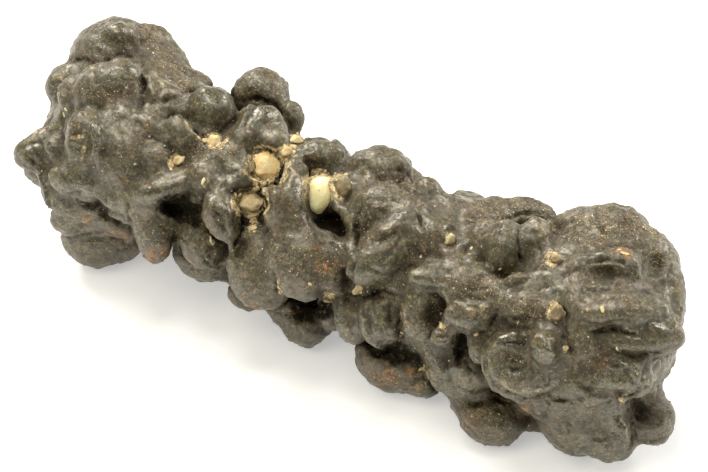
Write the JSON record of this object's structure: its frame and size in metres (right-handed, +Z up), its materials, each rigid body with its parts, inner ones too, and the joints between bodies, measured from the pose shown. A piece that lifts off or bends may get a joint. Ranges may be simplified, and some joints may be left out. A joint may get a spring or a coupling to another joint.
{
  "type": "goethite pseudomorph",
  "caption": "Club-shaped dark brown stone of fused rounded lumps, hollows and ridges, with pale grains of bed rock trapped in it, lying on its side.",
  "frame": {"origin": "middle of the stone's footprint, on the surface that it lies on", "axes": "+X along the stone to its thicker end, +Z up"},
  "size_m": [0.0754, 0.0244, 0.0233],
  "materials": {
    "goethite": "satin, waxy on the high lumps and earthy in the hollows",
    "chalk": "fine-grained, slightly translucent",
    "ochre": "chalky, stained with iron",
    "tan": "sandy and dull",
    "smoky": "glassy quartz, dark against the stone"
  },
  "bodies": {
    "root": {"goethite_body": "goethite", "cream_pebble": "chalk", "ochre_chalk": "ochre", "tan_chalk": "tan", "smoky_grain": "smoky", "neck_grain": "tan", "flank_grain": "tan", "crest_grain": "tan", "finger_grain": "tan", "slope_grain": "chalk", "keel_grain": "tan", "crease_grain": "tan", "lip_grain": "tan"}
  },
  "joints": []
}
